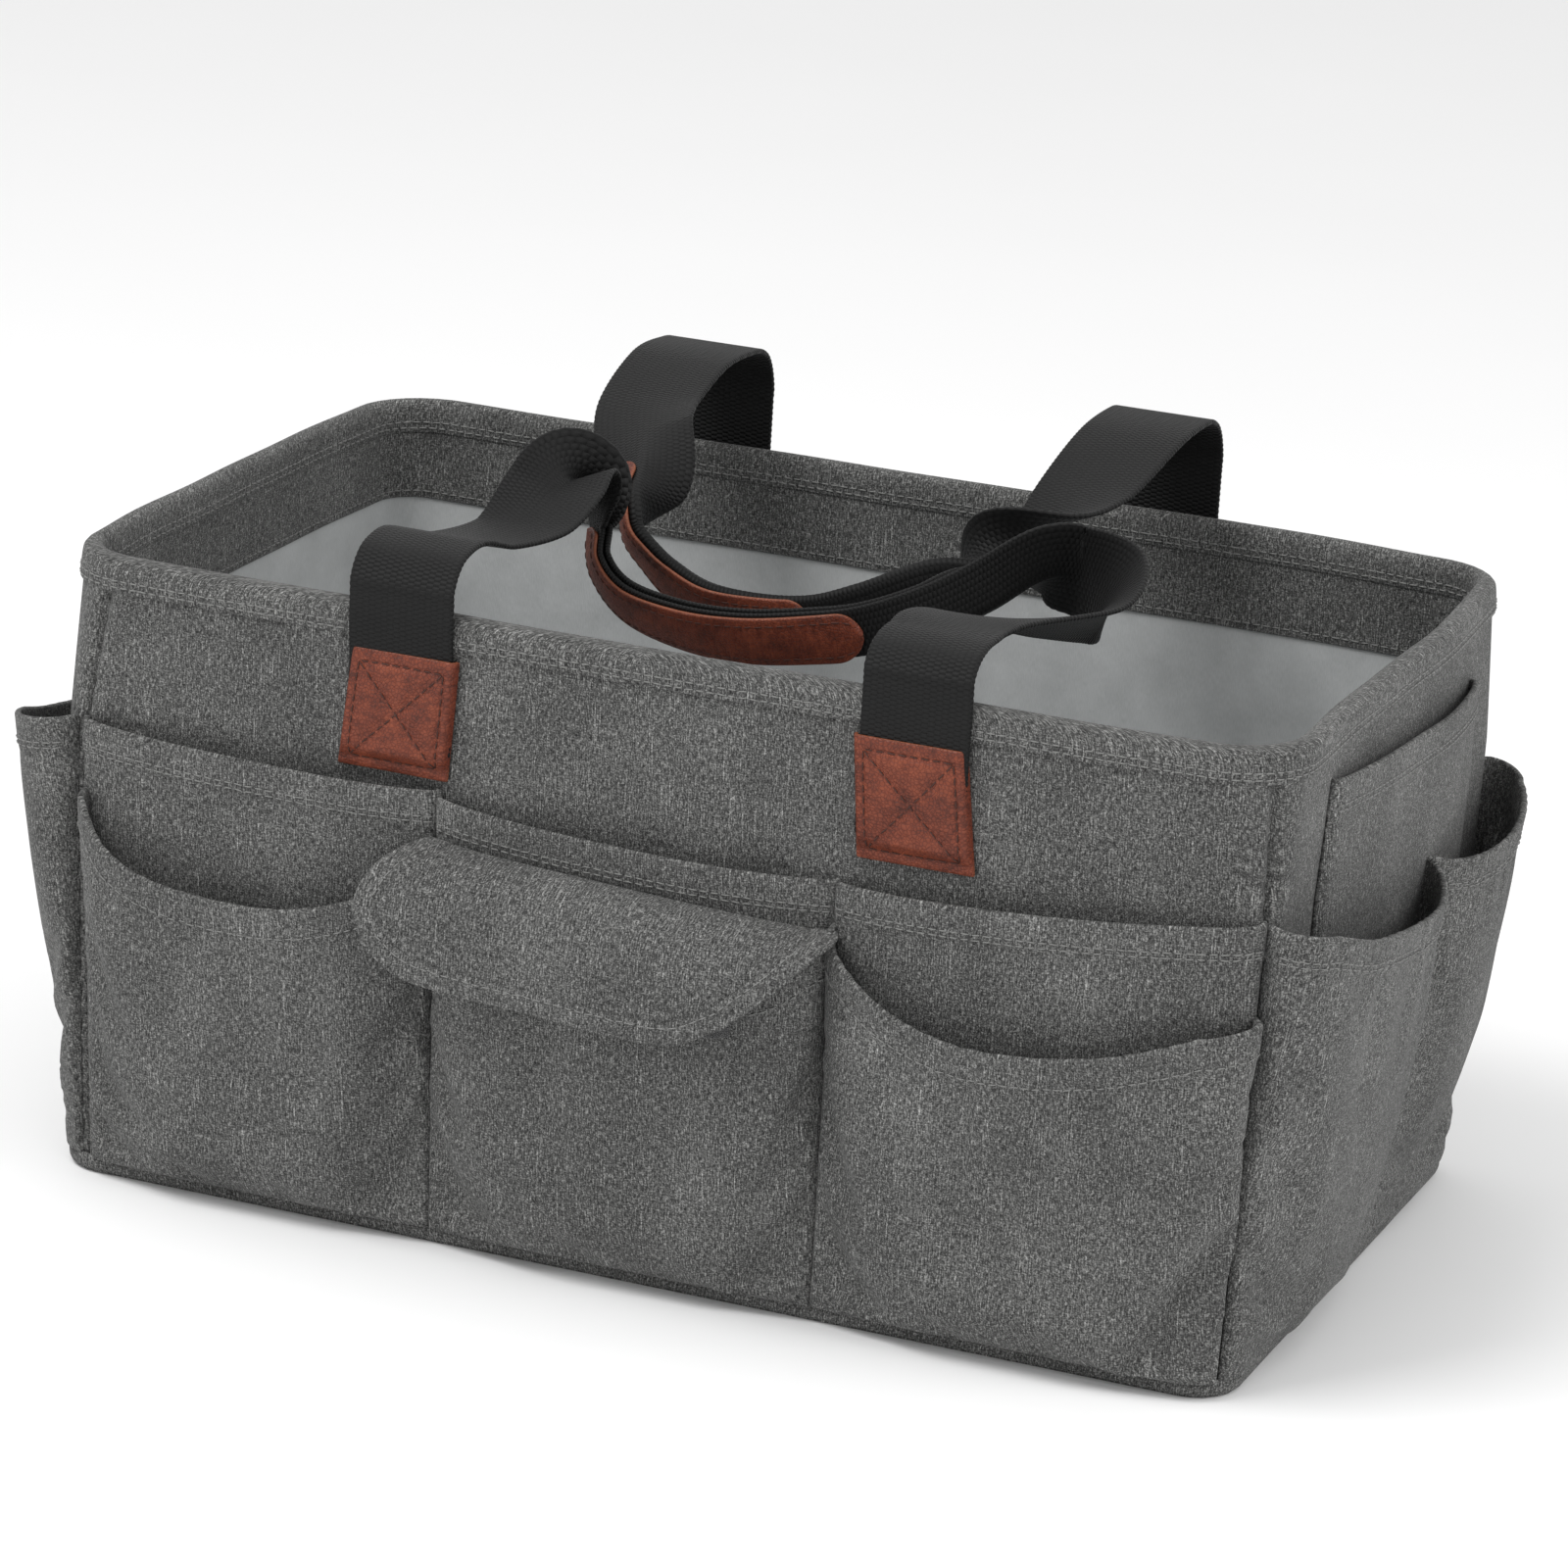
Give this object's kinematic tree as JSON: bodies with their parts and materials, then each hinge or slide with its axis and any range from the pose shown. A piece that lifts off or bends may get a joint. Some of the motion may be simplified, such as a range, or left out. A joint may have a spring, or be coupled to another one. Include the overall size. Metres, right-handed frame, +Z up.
{
  "type": "knitting bag",
  "caption": "Open-topped craft and knitting caddy in grey heather cloth with stiff walls, pleated outer pockets, a flap pocket, and webbing handles with leather grips.",
  "frame": {"origin": "middle of the underside of the base", "axes": "+X along the length to the right seen from the front, +Y from front to back, +Z up"},
  "size_m": [0.439, 0.2731, 0.2338],
  "materials": {
    "heather_cloth": "matte grey melange plain weave with pale slubs",
    "lining": "smooth matte light grey lining",
    "webbing": "black ribbed polypropylene webbing",
    "leather_trim": "semi-gloss brown faux leather, dark stitching",
    "board": "plain stiffening board",
    "fastening_tape": "black hook and loop tape"
  },
  "bodies": {
    "bag": {"back_board": "board", "back_left_patch": "leather_trim", "back_lining": "lining", "back_panel": "heather_cloth", "back_pocket_band": "heather_cloth", "back_right_patch": "leather_trim", "back_strap_ends": "webbing", "base_board": "board", "base_lining": "lining", "base_panel": "heather_cloth", "base_piping": "heather_cloth", "flap_loop_tape": "fastening_tape", "front_board": "board", "front_left_patch": "leather_trim", "front_left_pocket": "heather_cloth", "front_lining": "lining", "front_middle_pocket": "heather_cloth", "front_panel": "heather_cloth", "front_pocket_band": "heather_cloth", "front_right_patch": "leather_trim", "front_right_pocket": "heather_cloth", "front_strap_ends": "webbing", "left_back_pocket": "heather_cloth", "left_board": "board", "left_front_pocket": "heather_cloth", "left_lining": "lining", "left_panel": "heather_cloth", "right_back_pocket": "heather_cloth", "right_board": "board", "right_front_pocket": "heather_cloth", "right_lining": "lining", "right_panel": "heather_cloth", "right_tall_pocket": "heather_cloth", "rim_facing": "heather_cloth", "rim_hem": "heather_cloth"},
    "flap": {"flap_face": "heather_cloth", "flap_facing": "heather_cloth", "flap_hook_tape": "fastening_tape"},
    "front_straps": {"front_strap_risers": "webbing", "front_strap_bends": "webbing"},
    "front_handle": {"front_webbing": "webbing", "front_grip": "leather_trim"},
    "back_straps": {"back_strap_risers": "webbing", "back_strap_bends": "webbing"},
    "back_handle": {"back_webbing": "webbing", "back_grip": "leather_trim"}
  },
  "joints": [
    {"name": "flap_lift", "type": "hinge", "parent": "bag", "child": "flap", "pos_m": [0, -0.12843, 0.129], "axis": [-1, 0, 0], "range_deg": [0, 105]},
    {"name": "front_strap_lean", "type": "hinge", "parent": "bag", "child": "front_straps", "pos_m": [0, -0.1228, 0.191], "axis": [1, 0, 0], "range_deg": [0, 80]},
    {"name": "front_handle_lift", "type": "hinge", "parent": "front_straps", "child": "front_handle", "pos_m": [0, -0.107, 0.204], "axis": [1, 0, 0], "range_deg": [0, 90], "deforming": ["front_strap_bends"]},
    {"name": "back_strap_lean", "type": "hinge", "parent": "bag", "child": "back_straps", "pos_m": [0, 0.1228, 0.191], "axis": [-1, 0, 0], "range_deg": [0, 80]},
    {"name": "back_handle_lift", "type": "hinge", "parent": "back_straps", "child": "back_handle", "pos_m": [0, 0.107, 0.216], "axis": [-1, 0, 0], "range_deg": [0, 90], "deforming": ["back_strap_bends"]}
  ]
}
